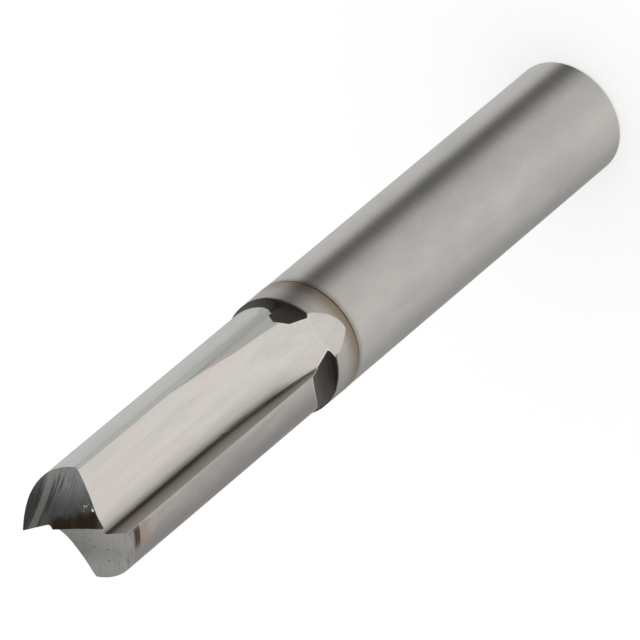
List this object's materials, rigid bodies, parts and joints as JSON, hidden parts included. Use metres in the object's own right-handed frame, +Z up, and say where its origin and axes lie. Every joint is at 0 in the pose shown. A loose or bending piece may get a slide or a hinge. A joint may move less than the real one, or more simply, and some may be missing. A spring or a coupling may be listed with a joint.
{
  "type": "straight plunge router bit",
  "caption": "Straight plunge router bit ground from one round bar: a plain shank, a short neck and straight flutes with hollow-ground end lips.",
  "frame": {"origin": "centre of the shank's end face, on which the bit stands", "axes": "+Z up the bit's axis from the shank to the cutting end; +X through one of the cutting corners; it turns counter-clockwise seen from the cutting end"},
  "size_m": [0.006, 0.006, 0.0432],
  "materials": {
    "steel": "ground"
  },
  "bodies": {
    "root": {"router_bit": "steel"}
  },
  "joints": []
}
